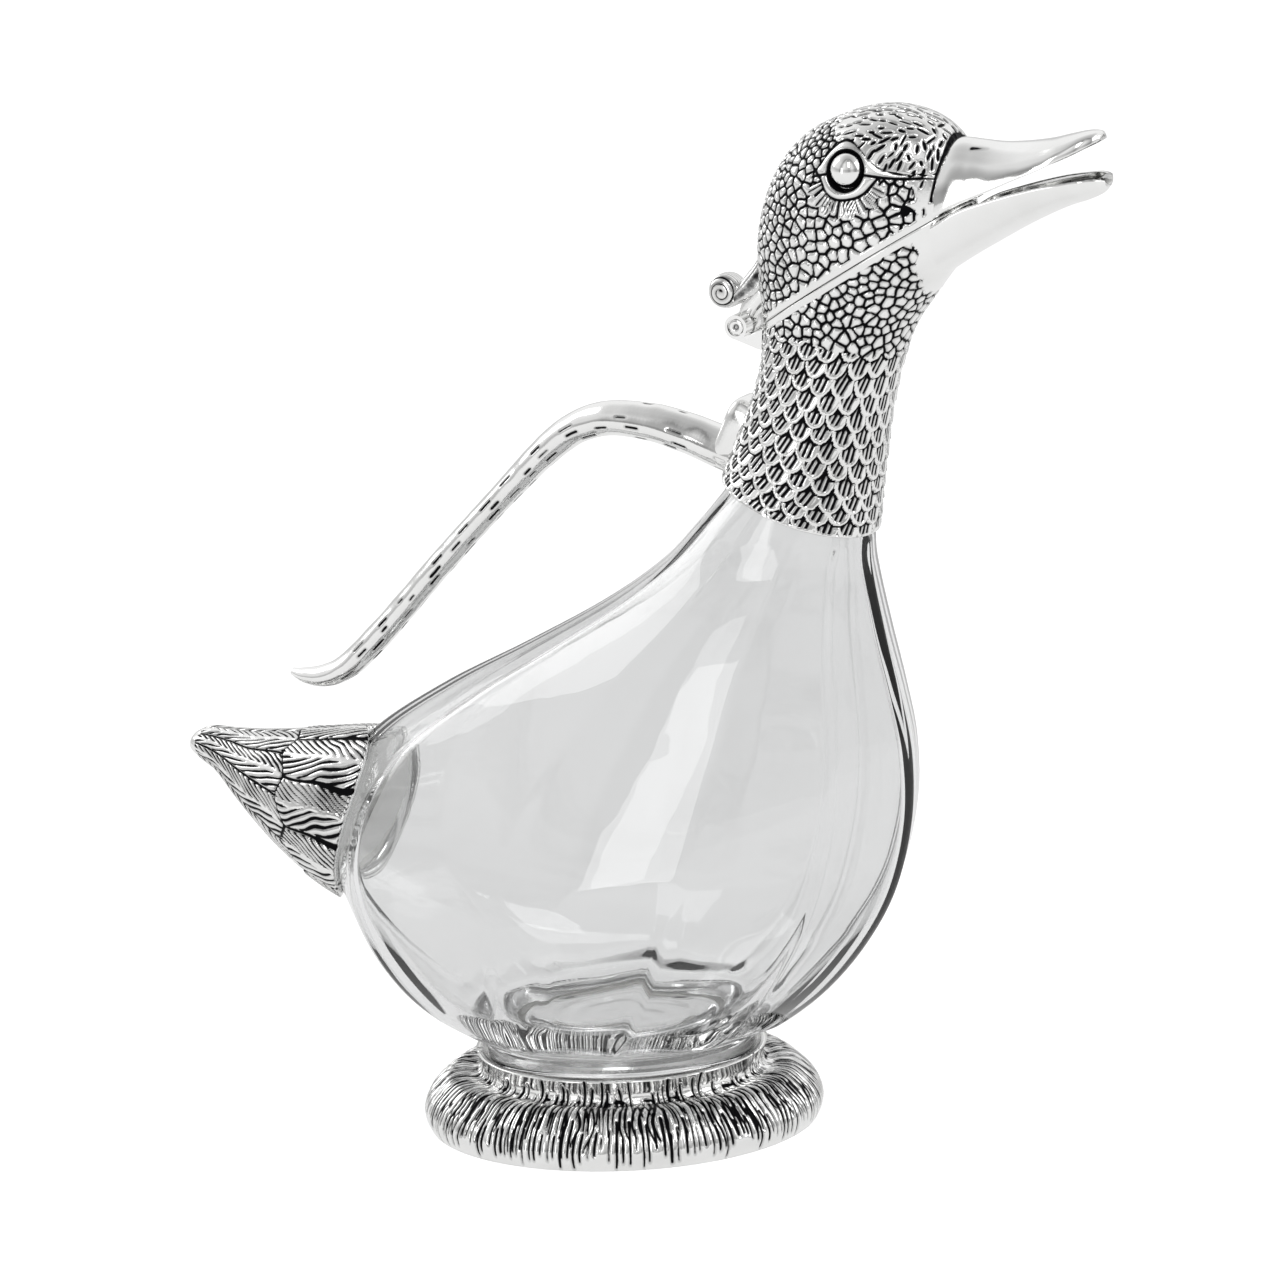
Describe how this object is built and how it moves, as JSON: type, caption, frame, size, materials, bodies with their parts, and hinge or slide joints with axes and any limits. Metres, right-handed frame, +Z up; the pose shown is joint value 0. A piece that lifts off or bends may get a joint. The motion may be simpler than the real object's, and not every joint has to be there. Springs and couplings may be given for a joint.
{
  "type": "wine decanter",
  "caption": "Duck-shaped wine decanter: clear glass body, cast plated neck, tail and foot, scroll handle, and a hinged head that tips back to fill it and pours from the bill.",
  "frame": {"origin": "on the table under the middle of the object's box", "axes": "+X towards the bill, +Y towards the duck's left, +Z up"},
  "size_m": [0.2842, 0.1086, 0.2846],
  "materials": {
    "clear_glass": "clear, fire-polished",
    "silver_plate": "polished silver plate with blackened recesses",
    "cement": "set plaster, matt",
    "gasket": "pale food-grade seal, satin"
  },
  "bodies": {
    "jug": {"glass_body": "clear_glass", "neck_collar": "silver_plate", "hinge_bracket": "silver_plate", "hinge_pin": "silver_plate", "handle": "silver_plate", "tail_mount": "silver_plate", "foot_ring": "silver_plate", "collar_cement": "cement", "foot_cement": "cement", "tail_cement": "cement", "neck_gasket": "gasket"},
    "lid": {"head_lid": "silver_plate", "thumb_lever": "silver_plate", "eye_left": "silver_plate", "eye_right": "silver_plate"}
  },
  "joints": [
    {"name": "lid_hinge", "type": "hinge", "parent": "jug", "child": "lid", "pos_m": [0.0352, 0, 0.224], "axis": [0, -1, 0], "range_deg": [0, 75]}
  ]
}
